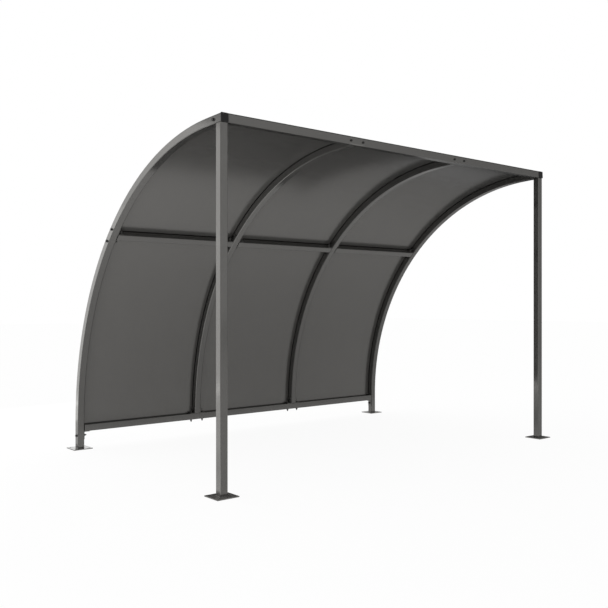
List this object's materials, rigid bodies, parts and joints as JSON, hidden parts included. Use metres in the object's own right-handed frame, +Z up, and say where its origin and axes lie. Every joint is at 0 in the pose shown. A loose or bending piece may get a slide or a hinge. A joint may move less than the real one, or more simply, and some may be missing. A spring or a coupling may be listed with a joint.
{
  "type": "bike shelter",
  "caption": "Open-fronted bicycle shelter: square-tube ribs, bent to nearly a quarter circle, carry curved metal sheets that form roof and back wall in one sweep.",
  "frame": {"origin": "on the ground, in the middle of the shelter's length and depth", "axes": "+X along the shelter, +Y towards the back wall with the open front at -Y, +Z up"},
  "size_m": [3.195, 2.166, 2.2001],
  "materials": {
    "frame_coat": "satin powder coat, umbra grey",
    "panel_coat": "fine-textured satin powder coat, umbra grey",
    "base_plates": "satin powder coat, umbra grey",
    "brackets": "satin powder coat, umbra grey",
    "cap_plastic": "matt black moulded plastic"
  },
  "bodies": {
    "root": {"base_plate_front_left": "base_plates", "base_plate_rear_left": "base_plates", "front_post_left": "frame_coat", "end_rib_left": "frame_coat", "end_cap_left": "cap_plastic", "middle_rib_left": "frame_coat", "base_plate_front_right": "base_plates", "base_plate_rear_right": "base_plates", "front_post_right": "frame_coat", "end_rib_right": "frame_coat", "end_cap_right": "cap_plastic", "middle_rib_right": "frame_coat", "front_beam": "frame_coat", "bottom_rail": "frame_coat", "mid_rail_left": "frame_coat", "lower_panel_left": "panel_coat", "upper_panel_left": "panel_coat", "mid_rail_brackets_left": "brackets", "mid_rail_centre": "frame_coat", "lower_panel_centre": "panel_coat", "upper_panel_centre": "panel_coat", "mid_rail_brackets_centre": "brackets", "mid_rail_right": "frame_coat", "lower_panel_right": "panel_coat", "upper_panel_right": "panel_coat", "mid_rail_brackets_right": "brackets", "bottom_rail_brackets": "brackets", "beam_brackets": "brackets"}
  },
  "joints": []
}
